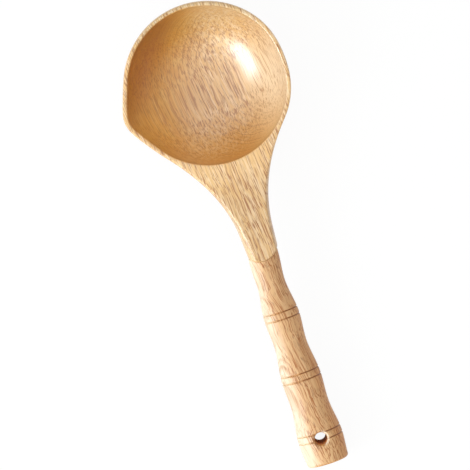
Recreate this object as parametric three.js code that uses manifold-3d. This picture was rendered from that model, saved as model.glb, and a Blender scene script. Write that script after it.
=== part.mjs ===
// Wooden sauna ladle: a carved bowl with a pouring spout and a flat-topped neck, and a turned handle
// with three swollen nodes in the manner of a bamboo cane. A hidden fluted dowel joins the two.
//
// Lengths are millimetres and angles are radians. Every piece is drawn in the ladle's own frame: the
// origin is the middle of the mouth, the rim lies in the plane z = 0, +X runs down the handle and the
// spout points towards -Y. The last group lays the ladle on a table, +Z up, on the flat foot under its
// bowl and the lowest point of its handle, with the middle of that foot at the origin.

import * as THREE from 'three';
import { mergeVertices } from 'three/addons/utils/BufferGeometryUtils.js';
import Module from 'manifold-3d';

const wasm = await Module();
wasm.setup();

const DEGREE = Math.PI / 180;
const QUARTER_TURN = Math.PI / 2;

// Bowl: the hollow is a squared ellipse turned about Z, and the outside is an ellipsoid.
const MOUTH_RADIUS = 54;
const MOUTH_DEPTH = 44;
const HOLLOW_FULLNESS = 2.2; // 2 is a true ellipse, and more is squarer
const RIM_WALL = 2.6;
const RIM_CHAMFER = 0.6;
const FLOOR_WALL = 6;
const BELLY_DROP = 6; // the outside is widest this far below the rim
const FOOT_CUT = 0.8; // sanded off the lowest point, as a flat to stand on

// Spout: drawn out of the wall on the left, with straight sides and a rounded tip.
const SPOUT_REACH = 7.2; // past the mouth's circle, to where the straight sides would meet
const SPOUT_BEARING = 278 * DEGREE; // from the handle's direction
const SPOUT_ROUNDING = 5 * DEGREE;
const SPOUT_SHOULDER = 3.5 * DEGREE; // by which the outside's sides leave the round wall earlier
const SPOUT_BLUNTING = 2.5 * DEGREE; // by which the outside's tip is rounder
const SPOUT_DEPTH = 30; // below the rim, where the wall is round again
const FLAT_BEARING = 93 * DEGREE; // across from the spout, where the wall is a little flatter
const FLAT_SHARE = 0.019; // of the radius
const FLAT_SHARPNESS = 16; // the higher, the narrower

// Neck: flat on top, round below, ending in a half-round tongue.
const NECK_LENGTH = 68.4; // from the belly to the tip of the tongue
const NECK_HALF_WIDTH = 11.9; // where the sweep from the bowl ends
const NECK_SETBACK = 20.5; // from that place to the tip of the tongue
const NECK_TAPER = 0.07; // half-width lost for each millimetre from there on
const NECK_CROWN = 21; // upper half-height of the section, most of which the flat takes off
const NECK_OFFSET = 1.2; // to the right of the handle's axis
const NECK_BEARING = 48.8 * DEGREE; // where the outline leaves the round belly
const KEEL_BEARING = 46 * DEGREE; // where the underside leaves it
const KEEL_SETBACK = 37.5; // from the end of the keel's sweep to the tip of the tongue
const TONGUE_MARGIN = 1.5; // of the tongue's radius over the neck's width beside it

// Handle: turned about an axis that runs below the flat of the neck.
const HANDLE_DROP = 11.6; // from the rim's plane to the axis
const HEAD_SETBACK = 9.9; // from the tongue's centre to the handle's head
const HEAD_RADIUS = 11.3;
const HEAD_LAP = 2; // past the head, so that the cope leaves no flat beside the tongue
const NODE_RADII = [12.45, 13.8, 15.65];
const WAIST_RADII = [9.8, 11.3, 13.1];
const NODE_SPACINGS = [43.3, 44, 42.6]; // from the head, or from the node before
const WAIST_SHARE = 0.42; // of the way from one node to the next
const RING_LEAD = 2.4; // a node's two rings lie this far before its widest place
const BUTT_LENGTH = 17.5; // past the last node
const BUTT_RADIUS = 14.6;
const BUTT_ROUND = 1.8;
const GROOVE_SPACING = 5; // between the two rings of a node
const GROOVE_WIDTH = 1.1;
const GROOVE_DEPTH = 0.65;
const HOLE_LEAD = 1.4; // past the middle of the last node's rings
const HOLE_RADIUS = 4.25;
const HOLE_CHAMFER = 0.8;

// Dowel and fits.
const DOWEL_RADIUS = 5;
const DOWEL_LENGTH = 60;
const DOWEL_CHAMFER = 1;
const FLUTES = 16;
const FLUTE_DEPTH = 0.35;
const BORE_CLEARANCE = 0.3;
const BORE_END_ROOM = 1;
const SEAT_GAP = 0.3;

// Facets.
const BOWL_STEPS = 36;
const NECK_STEPS = 16;
const SECTION_SIDES = 48;
const HOLLOW_STEPS = 14;
const HOLLOW_SIDES = 72;
const TURNED_SIDES = 36;
const TURNED_STEP = 3.1;
const ROUND_STEPS = 3;
const BORE_SIDES = 24;
const OVERRUN = 3; // how far a cutting tool passes the wood

// Sizes that follow from those.
const BELLY_DEPTH = MOUTH_DEPTH + FLOOR_WALL - BELLY_DROP;
const BELLY_RADIUS = (MOUTH_RADIUS + RIM_WALL) / Math.sqrt(1 - (BELLY_DROP / BELLY_DEPTH) ** 2);
const SPOUT_HALF_ANGLE = Math.acos(MOUTH_RADIUS / (MOUTH_RADIUS + SPOUT_REACH));
const TONGUE_TIP = BELLY_RADIUS + NECK_LENGTH;
const NECK_START = BELLY_RADIUS * Math.cos(NECK_BEARING);
const KEEL_START = BELLY_RADIUS * Math.cos(KEEL_BEARING);
const NARROW_X = TONGUE_TIP - NECK_SETBACK;
const TONGUE_RADIUS = NECK_HALF_WIDTH + NECK_OFFSET - NECK_TAPER * NECK_SETBACK / 2 + TONGUE_MARGIN;
const TONGUE_CENTRE = TONGUE_TIP - TONGUE_RADIUS;
const HEAD_X = TONGUE_CENTRE + HEAD_SETBACK;
const BLANK_START = HEAD_X - HEAD_LAP;
const NODE_PLACES = NODE_SPACINGS.map((_, node) => HEAD_X + sum(NODE_SPACINGS.slice(0, node + 1)));
const HOLE_X = NODE_PLACES.at(-1) + HOLE_LEAD;
const BUTT_X = NODE_PLACES.at(-1) + RING_LEAD + BUTT_LENGTH;
const LAST_NODE_RADIUS = NODE_RADII.at(-1);
const HOLE_LIP = Math.sqrt(LAST_NODE_RADIUS ** 2 - HOLE_RADIUS ** 2) - HOLE_CHAMFER; // from the axis
const HOLE_MOUTH = HOLE_RADIUS + LAST_NODE_RADIUS - HOLE_LIP;

function sum(values) {
  return values.reduce((total, value) => total + value, 0);
}

// Solids and booleans.

function solid(geometry) {
  const bare = geometry.clone();
  bare.deleteAttribute('normal');
  bare.deleteAttribute('uv');
  const merged = mergeVertices(bare);
  const corners = merged.index.array;
  const triangles = [];
  for (let i = 0; i < corners.length; i += 3) {
    const [a, b, c] = corners.slice(i, i + 3);
    if (a !== b && b !== c && c !== a) triangles.push(a, b, c);
  }
  return new wasm.Manifold(new wasm.Mesh({
    numProp: 3,
    vertProperties: new Float32Array(merged.attributes.position.array),
    triVerts: new Uint32Array(triangles),
  }));
}

function namedMesh(name, body, material) {
  const { vertProperties, triVerts } = body.getMesh();
  const geometry = new THREE.BufferGeometry();
  geometry.setAttribute('position', new THREE.BufferAttribute(vertProperties, 3));
  geometry.setIndex(new THREE.BufferAttribute(triVerts, 1));
  geometry.computeVertexNormals();
  const mesh = new THREE.Mesh(geometry, material);
  mesh.name = name;
  return mesh;
}

function slab(low, high) {
  const size = high.clone().sub(low);
  const middle = low.clone().add(high).multiplyScalar(0.5);
  return new THREE.BoxGeometry(size.x, size.y, size.z).translate(middle.x, middle.y, middle.z);
}

function uprightCylinder(radius, x, sides) {
  const height = 4 * (HANDLE_DROP + HEAD_RADIUS);
  return new THREE.CylinderGeometry(radius, radius, height, sides).rotateX(QUARTER_TURN).translate(x, 0, 0);
}

// Outline curves of the bowl and neck.

// Height and slope, at x, of an ellipse with the belly's radius along X and the given height across it.
function bellyArc(x, height) {
  const share = Math.sqrt(1 - (x / BELLY_RADIUS) ** 2);
  return { x, value: height * share, slope: (-height * x) / (BELLY_RADIUS ** 2 * share) };
}

// Cubic from one point and slope to another.
function fairCurve(x, from, to) {
  const run = to.x - from.x;
  const s = (x - from.x) / run;
  const keep = (1 + 2 * s) * (1 - s) ** 2;
  const bend = run * s * (1 - s) * ((1 - s) * from.slope - s * to.slope);
  return keep * from.value + (1 - keep) * to.value + bend;
}

// Follows the belly as far as `leave`, sweeps to `end`, and runs straight on from there.
function runOut(x, leave, height, end) {
  if (x <= leave) return bellyArc(x, height).value;
  if (x >= end.x) return end.value + end.slope * (x - end.x);
  return fairCurve(x, bellyArc(leave, height), end);
}

function halfWidth(x) {
  return runOut(x, NECK_START, BELLY_RADIUS, { x: NARROW_X, value: NECK_HALF_WIDTH, slope: -NECK_TAPER });
}

function crownHeight(x) {
  return runOut(x, NECK_START, BELLY_DEPTH, { x: NARROW_X, value: NECK_CROWN, slope: 0 });
}

function keelHeight(x) {
  const endDepth = HANDLE_DROP + HEAD_RADIUS - BELLY_DROP;
  const end = { x: TONGUE_TIP - KEEL_SETBACK, value: endDepth, slope: 0 };
  return -BELLY_DROP - runOut(x, KEEL_START, BELLY_DEPTH, end);
}

// One closed section of the body, widest at its own level, with its upper and lower halves apart.
function bodySection(x) {
  const sweep = THREE.MathUtils.smoothstep(x, NECK_START, NARROW_X);
  const level = -THREE.MathUtils.lerp(BELLY_DROP, HANDLE_DROP, sweep);
  const width = halfWidth(x);
  const above = crownHeight(x);
  const below = level - keelHeight(x);
  const ring = [];
  for (let side = 0; side < SECTION_SIDES; side += 1) {
    const angle = (2 * Math.PI * side) / SECTION_SIDES;
    const rise = Math.sin(angle);
    ring.push(x, NECK_OFFSET * sweep + width * Math.cos(angle), level + rise * (rise > 0 ? above : below));
  }
  return ring;
}

// Bowl and neck as one skin: sections lofted along X, from a point at the nose to past the tongue.
function bodySkin() {
  const stations = [];
  for (let step = 1; step <= BOWL_STEPS; step += 1) {
    stations.push(-BELLY_RADIUS * Math.cos((step / BOWL_STEPS) * (Math.PI - NECK_BEARING)));
  }
  for (let step = 1; step <= NECK_STEPS; step += 1) {
    stations.push(THREE.MathUtils.lerp(NECK_START, TONGUE_TIP + OVERRUN, step / NECK_STEPS));
  }
  const places = stations.flatMap(bodySection);
  const nose = places.length / 3;
  const tail = nose + 1;
  places.push(-BELLY_RADIUS, 0, -BELLY_DROP);
  places.push(stations.at(-1), NECK_OFFSET, -HANDLE_DROP);

  const faces = [];
  const lastRing = (stations.length - 1) * SECTION_SIDES;
  for (let side = 0; side < SECTION_SIDES; side += 1) {
    const next = (side + 1) % SECTION_SIDES;
    faces.push(nose, next, side);
    faces.push(tail, lastRing + side, lastRing + next);
    for (let ring = 0; ring < lastRing; ring += SECTION_SIDES) {
      const ahead = ring + SECTION_SIDES;
      faces.push(ring + side, ahead + next, ahead + side);
      faces.push(ring + side, ring + next, ahead + next);
    }
  }
  const skin = new THREE.BufferGeometry();
  skin.setAttribute('position', new THREE.Float32BufferAttribute(places, 3));
  skin.setIndex(faces);
  return skin;
}

// The hollow: a squared ellipse turned about Z, opening at the rim with a small chamfer.
function hollowTool() {
  const profile = [];
  const bend = 2 / HOLLOW_FULLNESS;
  for (let step = 0; step < HOLLOW_STEPS; step += 1) {
    const angle = (step / HOLLOW_STEPS) * QUARTER_TURN;
    const radius = MOUTH_RADIUS * Math.sin(angle) ** bend;
    profile.push(new THREE.Vector2(radius, -MOUTH_DEPTH * Math.cos(angle) ** bend));
  }
  profile.push(new THREE.Vector2(MOUTH_RADIUS, -RIM_CHAMFER));
  profile.push(new THREE.Vector2(MOUTH_RADIUS + RIM_CHAMFER + OVERRUN, OVERRUN));
  profile.push(new THREE.Vector2(0, OVERRUN));
  return new THREE.LatheGeometry(profile, HOLLOW_SIDES).rotateX(QUARTER_TURN).rotateZ(SPOUT_BEARING);
}

// Draws a wall out into the spout: its sides leave the round wall as tangents and meet in a rounded tip,
// and the draw fades away below the rim. Across from the spout the wall is pressed a little flatter.
function drawSpout(geometry, halfAngle, rounding) {
  const place = geometry.attributes.position;
  for (let i = 0; i < place.count; i += 1) {
    const bearing = Math.atan2(place.getY(i), place.getX(i));
    const off = bearing - SPOUT_BEARING + Math.PI;
    const away = THREE.MathUtils.euclideanModulo(off, 2 * Math.PI) - Math.PI;
    const turn = Math.max(0, halfAngle - Math.hypot(away, rounding));
    const fade = THREE.MathUtils.clamp(1 + place.getZ(i) / SPOUT_DEPTH, 0, 1) ** 2;
    const drawn = 1 + (1 / Math.cos(turn) - 1) * fade;
    const flat = FLAT_SHARE * Math.max(0, Math.cos(bearing - FLAT_BEARING)) ** FLAT_SHARPNESS;
    place.setXY(i, place.getX(i) * drawn * (1 - flat), place.getY(i) * drawn * (1 - flat));
  }
  return geometry;
}

// Handle.

// Nodes, waists and ends as distance along X and radius.
function handleMarks() {
  const marks = [{ x: HEAD_X, radius: HEAD_RADIUS }];
  NODE_PLACES.forEach((place, node) => {
    const crest = place + RING_LEAD;
    const waist = crest - (1 - WAIST_SHARE) * NODE_SPACINGS[node];
    marks.push({ x: waist, radius: WAIST_RADII[node] });
    marks.push({ x: crest, radius: NODE_RADII[node] });
  });
  marks.push({ x: BUTT_X, radius: BUTT_RADIUS });
  return marks;
}

function grooveMiddles() {
  return NODE_PLACES.flatMap((place) => [place - GROOVE_SPACING / 2, place + GROOVE_SPACING / 2]);
}

// Radius of the turned surface, level at each node and waist, with a V groove at each ring.
function handleRadius(x) {
  const marks = handleMarks();
  const next = Math.max(1, marks.findIndex((mark) => x <= mark.x));
  const from = marks[next - 1];
  const to = marks[next];
  const swell = THREE.MathUtils.lerp(from.radius, to.radius, THREE.MathUtils.smoothstep(x, from.x, to.x));
  const nearest = Math.min(...grooveMiddles().map((middle) => Math.abs(x - middle)));
  return swell - GROOVE_DEPTH * Math.max(0, 1 - (2 * nearest) / GROOVE_WIDTH);
}

// Places along the handle where its profile has a corner: even steps, with three at each groove.
function handleStations() {
  const middles = grooveMiddles();
  const edge = GROOVE_WIDTH / 2;
  const shoulder = BUTT_X - BUTT_ROUND;
  const run = shoulder - BLANK_START;
  const count = Math.round(run / TURNED_STEP);
  const even = Array.from({ length: count + 1 }, (_, i) => BLANK_START + (run * i) / count);
  const clear = even.filter((x) => middles.every((middle) => Math.abs(x - middle) > GROOVE_WIDTH));
  const grooves = middles.flatMap((middle) => [middle - edge, middle, middle + edge]);
  return [...clear, ...grooves].sort((a, b) => a - b);
}

function handleBlank() {
  const profile = [new THREE.Vector2(0, BLANK_START)];
  handleStations().forEach((x) => profile.push(new THREE.Vector2(handleRadius(x), x)));
  const shoulder = profile.at(-1);
  for (let step = 1; step <= ROUND_STEPS; step += 1) {
    const angle = (step / ROUND_STEPS) * QUARTER_TURN;
    const radius = shoulder.x - BUTT_ROUND * (1 - Math.cos(angle));
    profile.push(new THREE.Vector2(radius, shoulder.y + BUTT_ROUND * Math.sin(angle)));
  }
  profile.push(new THREE.Vector2(0, BUTT_X));
  return new THREE.LatheGeometry(profile, TURNED_SIDES)
    .rotateZ(-QUARTER_TURN)
    .translate(0, 0, -HANDLE_DROP);
}

// Upright hole through the last node, flaring to a small chamfer at both faces.
function hangingHoleTool() {
  const end = LAST_NODE_RADIUS + OVERRUN;
  const wide = HOLE_MOUTH + OVERRUN;
  const profile = [
    new THREE.Vector2(0, -end),
    new THREE.Vector2(wide, -end),
    new THREE.Vector2(HOLE_RADIUS, -HOLE_LIP),
    new THREE.Vector2(HOLE_RADIUS, HOLE_LIP),
    new THREE.Vector2(wide, end),
    new THREE.Vector2(0, end),
  ];
  return new THREE.LatheGeometry(profile, BORE_SIDES)
    .rotateX(QUARTER_TURN)
    .translate(HOLE_X, 0, -HANDLE_DROP);
}

// Dowel.

function fluteOutline() {
  const shape = new THREE.Shape();
  const corners = 2 * FLUTES;
  const points = Array.from({ length: corners }, (_, corner) => {
    const radius = DOWEL_RADIUS - (corner % 2) * FLUTE_DEPTH;
    const angle = (2 * Math.PI * corner) / corners;
    return new THREE.Vector2(radius * Math.cos(angle), radius * Math.sin(angle));
  });
  return shape.setFromPoints(points);
}

function dowelStick() {
  const stick = new THREE.ExtrudeGeometry(fluteOutline(), {
    depth: DOWEL_LENGTH - 2 * DOWEL_CHAMFER,
    bevelThickness: DOWEL_CHAMFER,
    bevelSize: DOWEL_CHAMFER,
    bevelOffset: -DOWEL_CHAMFER,
    bevelSegments: 1,
  });
  const start = TONGUE_TIP - DOWEL_LENGTH / 2 + DOWEL_CHAMFER;
  return stick.rotateY(QUARTER_TURN).translate(start, 0, -HANDLE_DROP);
}

function dowelBoreTool() {
  const radius = DOWEL_RADIUS + BORE_CLEARANCE;
  const length = DOWEL_LENGTH + 2 * BORE_END_ROOM;
  return new THREE.CylinderGeometry(radius, radius, length, BORE_SIDES)
    .rotateZ(-QUARTER_TURN)
    .translate(TONGUE_TIP, 0, -HANDLE_DROP);
}

// Rest: the pitch at which the foot and the handle lie on the table together.

function bellyReach(pitch) {
  return Math.hypot(BELLY_RADIUS * Math.sin(pitch), BELLY_DEPTH * Math.cos(pitch));
}

function footReach(pitch) {
  return BELLY_DROP * Math.cos(pitch) + bellyReach(pitch) - FOOT_CUT;
}

// The hanging hole takes away the lowest line of the last node, so there its mouth's edges count.
function handleReach(pitch) {
  const edges = [HOLE_X - HOLE_MOUTH, HOLE_X + HOLE_MOUTH];
  const whole = handleStations().filter((x) => Math.abs(x - HOLE_X) > HOLE_MOUTH);
  const reaches = [...whole, ...edges].map((x) => {
    return x * Math.sin(pitch) + (HANDLE_DROP + handleRadius(x)) * Math.cos(pitch);
  });
  return Math.max(...reaches);
}

function restPitch() {
  let low = -QUARTER_TURN / 2;
  let high = QUARTER_TURN / 2;
  for (let halving = 0; halving < 40; halving += 1) {
    const pitch = (low + high) / 2;
    if (handleReach(pitch) < footReach(pitch)) low = pitch;
    else high = pitch;
  }
  return (low + high) / 2;
}

// Middle of the foot along the table, from under the middle of the mouth.
function footMiddle(pitch) {
  const reach = bellyReach(pitch);
  const lean = (BELLY_RADIUS ** 2 - BELLY_DEPTH ** 2) * Math.sin(pitch) * Math.cos(pitch) / reach;
  return lean * (1 - FOOT_CUT / reach) - BELLY_DROP * Math.sin(pitch);
}

// Assembly.

const pitch = restPitch();
const reach = footReach(pitch);
const farLow = new THREE.Vector3(-BUTT_X, -BUTT_X, -BUTT_X);
const farHigh = new THREE.Vector3(BUTT_X, BUTT_X, BUTT_X);

const aboveRim = slab(farLow.clone().setZ(0), farHigh);
const belowFoot = slab(farLow, farHigh.clone().setZ(-reach)).rotateY(-pitch);
const pastNeck = slab(farLow.clone().setX(TONGUE_CENTRE), farHigh);
const tongue = uprightCylinder(TONGUE_RADIUS, TONGUE_CENTRE, SECTION_SIDES);
const cope = uprightCylinder(TONGUE_RADIUS + SEAT_GAP, TONGUE_CENTRE, SECTION_SIDES);
const bore = solid(dowelBoreTool());

const skin = drawSpout(bodySkin(), SPOUT_HALF_ANGLE + SPOUT_SHOULDER, SPOUT_ROUNDING + SPOUT_BLUNTING);
const hollow = drawSpout(hollowTool(), SPOUT_HALF_ANGLE, SPOUT_ROUNDING);
const bowlBody = solid(skin)
  .subtract(solid(aboveRim))
  .subtract(solid(hollow))
  .subtract(solid(pastNeck).subtract(solid(tongue)))
  .subtract(solid(belowFoot))
  .subtract(bore);

const handleBody = solid(handleBlank())
  .subtract(solid(cope))
  .subtract(solid(hangingHoleTool()))
  .subtract(bore);

const bowlWood = new THREE.MeshStandardMaterial({ color: 0xdeb98c, roughness: 0.35, metalness: 0 });
const handleWood = new THREE.MeshStandardMaterial({ color: 0xd7a573, roughness: 0.45, metalness: 0 });
const dowelWood = new THREE.MeshStandardMaterial({ color: 0xe2c69c, roughness: 0.8, metalness: 0 });

const ladle = new THREE.Group();
ladle.add(namedMesh('bowl', bowlBody, bowlWood));
ladle.add(namedMesh('handle', handleBody, handleWood));
ladle.add(namedMesh('handle_dowel', solid(dowelStick()), dowelWood));
ladle.rotation.y = pitch;
ladle.position.set(-footMiddle(pitch), 0, reach);

export default ladle;
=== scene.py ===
"""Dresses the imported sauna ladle: a carved bowl with a spout and a neck, a turned handle and its dowel.

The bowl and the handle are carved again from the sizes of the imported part, as fields in millimetres in
the ladle's own frame: the middle of the mouth is the origin, the rim lies in z = 0, +X runs down the
handle and the spout points towards -Y. Their surfaces are meshed finely, with rounded edges, and laid
into the row frame.
"""

import logging
import math
from dataclasses import dataclass, replace
from enum import Enum
from typing import Any, Callable

import bpy
import numpy as np
from mathutils import Matrix, Vector


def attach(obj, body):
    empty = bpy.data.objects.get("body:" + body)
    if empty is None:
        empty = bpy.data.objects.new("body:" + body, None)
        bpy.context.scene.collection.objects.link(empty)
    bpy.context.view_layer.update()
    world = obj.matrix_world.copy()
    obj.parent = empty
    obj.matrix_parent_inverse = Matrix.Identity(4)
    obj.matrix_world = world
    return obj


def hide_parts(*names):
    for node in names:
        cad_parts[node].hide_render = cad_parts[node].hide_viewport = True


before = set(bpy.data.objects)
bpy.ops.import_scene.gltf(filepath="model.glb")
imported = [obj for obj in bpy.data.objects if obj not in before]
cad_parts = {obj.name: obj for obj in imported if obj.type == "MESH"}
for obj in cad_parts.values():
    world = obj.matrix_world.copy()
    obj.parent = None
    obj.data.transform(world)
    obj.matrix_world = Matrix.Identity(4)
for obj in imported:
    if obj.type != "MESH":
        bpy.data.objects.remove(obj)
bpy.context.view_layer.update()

LOG = logging.getLogger("sauna_ladle")
MILLIMETRE = 0.001
DEGREE = math.pi / 180
LEAST_DIVISOR = 1e-3
WHITE = (1.0, 1.0, 1.0, 1.0)

# A span that no place of the ladle reaches
NOWHERE = (-900.0, -901.0)

Array = np.ndarray
Carving = Callable[[Array], Array]
Pair = tuple[float, float]
Span = tuple[float, float]
Triple = tuple[float, float, float]
Colour = tuple[float, float, float, float]


def from_screen(red: int, green: int, blue: int) -> Colour:
    """Turns a colour as a screen shows it, by the sRGB curve, into the linear colour that shaders take.

    Args:
        red: Red, from 0 to 255.
        green: Green, from 0 to 255.
        blue: Blue, from 0 to 255.

    Returns:
        Linear red, green and blue, and a full alpha.
    """
    parts = []
    for level in (red, green, blue):
        share = level / 255
        parts.append(share / 12.92 if share <= 0.04045 else ((share + 0.055) / 1.055) ** 2.4)
    return (parts[0], parts[1], parts[2], 1.0)


def smooth_share(value: Array, span: Span) -> Array:
    """Eases from 0 at the start of a span to 1 at its end."""
    share = np.clip((value - span[0]) / (span[1] - span[0]), 0.0, 1.0)
    return share * share * (3 - 2 * share)


def shared_by(first: Array, second: Array, radius: Array | float) -> Array:
    """Distance to what two solids share, with their common edge rounded.

    Args:
        first: Distances to one solid, negative inside it.
        second: Distances to the other.
        radius: Radius of the rounded edge.

    Returns:
        Distances to the shared solid.
    """
    deep = np.minimum(np.maximum(first, second), -radius)
    return deep + np.hypot(np.maximum(first + radius, 0.0), np.maximum(second + radius, 0.0))


def slope_of(carving: Carving, points: Array, step: float = 0.04) -> Array:
    """Slope of a field along X, Y and Z, by central differences.

    Args:
        carving: The field.
        points: Places to read it at.
        step: Half of the span that a difference is taken over.

    Returns:
        One row of three slopes for each point.
    """
    slopes = np.empty_like(points)
    for axis in range(3):
        shift = np.zeros(3)
        shift[axis] = step
        slopes[:, axis] = (carving(points + shift) - carving(points - shift)) / (2 * step)
    return slopes


@dataclass(frozen=True)
class LadlePose:
    """Where the ladle's own frame lies in the row frame.

    Attributes:
        mouth: Middle of the mouth, in millimetres.
        pitch: How far the handle leans down, in radians.
    """

    mouth: Triple
    pitch: float

    @classmethod
    def along_dowel(cls, dowel: bpy.types.Object, tongue_tip: float, handle_drop: float) -> "LadlePose":
        """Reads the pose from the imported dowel.

        It lies on the handle's axis, with its middle at the tongue's tip.

        Args:
            dowel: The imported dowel.
            tongue_tip: Where the tongue ends along X, in the ladle's frame.
            handle_drop: From the rim's plane down to the handle's axis.

        Returns:
            The pose that puts the axis and the tip on the dowel.
        """
        points = np.array([vertex.co for vertex in dowel.data.vertices]) / MILLIMETRE
        middle = (points.min(0) + points.max(0)) / 2
        axis = np.linalg.svd(points - middle, full_matrices=False)[2][0]
        axis = axis * math.copysign(1.0, axis[0])
        pitch = math.atan2(-axis[2], axis[0])
        ahead = tongue_tip * math.cos(pitch) - handle_drop * math.sin(pitch)
        down = tongue_tip * math.sin(pitch) + handle_drop * math.cos(pitch)
        return cls((middle[0] - ahead, middle[1], middle[2] + down), pitch)

    def height(self, points: Array) -> Array:
        """Height over the table of points in the ladle's frame."""
        return self.mouth[2] + points[:, 2] * math.cos(self.pitch) - points[:, 0] * math.sin(self.pitch)

    def to_row(self, points: Array) -> Array:
        """Moves points from the ladle's frame, in millimetres, to the row frame, in metres.

        Args:
            points: Places in the ladle's frame.

        Returns:
            The places in the row frame.
        """
        ahead = points[:, 0] * math.cos(self.pitch) + points[:, 2] * math.sin(self.pitch)
        laid = np.column_stack([self.mouth[0] + ahead, self.mouth[1] + points[:, 1], self.height(points)])
        return laid * MILLIMETRE


@dataclass
class SurfaceNet:
    """A closed mesh of quads over the surface of a carved field.

    Attributes:
        carving: The field, negative in the wood.
        low: Lowest corner of the box that is searched.
        high: Highest corner of that box.
        cell: Size of a cell along X, Y and Z, which is about the size of a quad.
        slab: How many steps along X are read at once.
        passes: How often the quads are evened out.
        settlings: How often a vertex is moved onto the surface, each time.
        settle_reach: The most that it is moved then, in cells.
        least_slope: The least square of the field's slope that a move goes by.
    """

    carving: Carving
    low: Triple
    high: Triple
    cell: Triple
    slab: int = 8
    passes: int = 3
    settlings: int = 2
    settle_reach: float = 0.5
    least_slope: float = 0.2

    def sample(self) -> Array:
        """Reads the field at every corner of the cells, in slabs along X.

        Returns:
            The field's values, by their steps along X, Y and Z.
        """
        axes = [np.arange(a, b + c, c) for a, b, c in zip(self.low, self.high, self.cell)]
        values = np.empty([len(axis) for axis in axes])
        for start in range(0, len(axes[0]), self.slab):
            part = axes[0][start : start + self.slab]
            points = np.stack(np.meshgrid(part, axes[1], axes[2], indexing="ij"), -1).reshape(-1, 3)
            values[start : start + self.slab] = self.carving(points).reshape(len(part), len(axes[1]), -1)
        return values

    def crossings(self, values: Array, cells: Array) -> Array:
        """Middle of the places where the surface crosses the edges of each cell.

        Args:
            values: The field at the corners of all cells.
            cells: Index of each cell that the surface passes through.

        Returns:
            One place for each cell, in millimetres.
        """
        total = np.zeros((len(cells), 3))
        hits = np.zeros(len(cells))
        corners = np.array([[i, j, k] for i in (0, 1) for j in (0, 1) for k in (0, 1)])
        edges = [(a, b) for a in corners for b in corners if (b - a).sum() == 1 and (b - a).min() == 0]
        for first, second in edges:
            start = values[tuple((cells + first).T)]
            end = values[tuple((cells + second).T)]
            crossed = (start < 0) != (end < 0)
            share = start / np.where(crossed, start - end, 1.0)
            place = cells + first + share[:, None] * (second - first)
            total += place * crossed[:, None]
            hits += crossed
        return np.array(self.low) + np.array(self.cell) * total / hits[:, None]

    def quads(self, inside: Array, number: Array) -> Array:
        """Joins the four cells round each crossed edge, facing out of the wood.

        Args:
            inside: Whether each corner lies in the wood.
            number: The vertex of each cell, or -1.

        Returns:
            One row of four vertices for each quad.
        """
        made = []
        for axis in range(3):
            across = np.eye(3, dtype=int)[(axis + 1) % 3]
            along = np.eye(3, dtype=int)[(axis + 2) % 3]
            at = np.argwhere(np.diff(inside.astype(np.int8), axis=axis) != 0)
            leaves = inside[tuple(at.T)]
            ring = [at - across - along, at - along, at, at - across]
            four = np.stack([number[tuple(cell.T)] for cell in ring], -1)
            made.append(np.where(leaves[:, None], four, four[:, ::-1]))
        return np.concatenate(made)

    def settle(self, points: Array) -> Array:
        """Moves points along the field's slope onto its surface.

        Args:
            points: Places near the surface.

        Returns:
            The places on it.
        """
        reach = self.settle_reach * min(self.cell)
        for _ in range(self.settlings):
            slope = slope_of(self.carving, points)
            share = self.carving(points) / np.maximum((slope**2).sum(1), self.least_slope)
            points = points - slope * np.clip(share, -reach, reach)[:, None]
        return points

    def even_out(self, points: Array, quads: Array) -> Array:
        """Moves each vertex halfway to the middle of its neighbours and back onto the surface.

        Args:
            points: The vertices.
            quads: The quads that join them.

        Returns:
            The vertices in their new places.
        """
        start = quads.ravel()
        end = np.roll(quads, -1, axis=1).ravel()
        sides = np.bincount(start, minlength=len(points))
        for _ in range(self.passes):
            sums = [np.bincount(start, points[end, axis], len(points)) for axis in range(3)]
            middle = np.stack(sums, -1) / sides[:, None]
            points = self.settle((points + middle) / 2)
        return points

    def build(self) -> tuple[Array, Array]:
        """Meshes the field.

        Returns:
            The vertices in millimetres, and the quads.
        """
        values = self.sample()
        inside = values < 0
        corners = [inside[i:, j:, k:] for i in (0, 1) for j in (0, 1) for k in (0, 1)]
        shape = [count - 1 for count in inside.shape]
        filled = sum(corner[: shape[0], : shape[1], : shape[2]].astype(np.int8) for corner in corners)
        cells = np.argwhere((filled > 0) & (filled < len(corners)))
        number = np.full(shape, -1)
        number[tuple(cells.T)] = np.arange(len(cells))
        quads = self.quads(inside, number)
        points = self.settle(self.crossings(values, cells))
        return self.even_out(points, quads), quads


def lay_down(name: str, net: SurfaceNet, pose: LadlePose, marks: dict[str, Carving]) -> bpy.types.Object:
    """Makes a smooth mesh piece from a carved field.

    Args:
        name: The piece's name.
        net: The net over its field.
        pose: Where the ladle lies.
        marks: Values that its finish reads, each from places in the ladle's frame.

    Returns:
        The new object, in the row frame.
    """
    points, quads = net.build()
    mesh = bpy.data.meshes.new(name)
    mesh.from_pydata(pose.to_row(points), [], quads.tolist())
    mesh.polygons.foreach_set("use_smooth", np.ones(len(quads), bool))
    for mark, carving in marks.items():
        layer = mesh.attributes.new(mark, "FLOAT", "POINT")
        layer.data.foreach_set("value", carving(points).astype(np.float32))
    mesh.validate()
    mesh.update()
    piece = bpy.data.objects.new(name, mesh)
    bpy.context.scene.collection.objects.link(piece)
    LOG.info("%s has %d vertices and %d quads", name, len(points), len(quads))
    return piece


class Operation(Enum):
    """Math node operations that shader expressions use."""

    ADD = "ADD"
    SUBTRACT = "SUBTRACT"
    MULTIPLY = "MULTIPLY"
    MAXIMUM = "MAXIMUM"
    ABSOLUTE = "ABSOLUTE"


class Blend(Enum):
    """Ways to lay one colour over another."""

    MIX = "MIX"
    MULTIPLY = "MULTIPLY"


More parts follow.
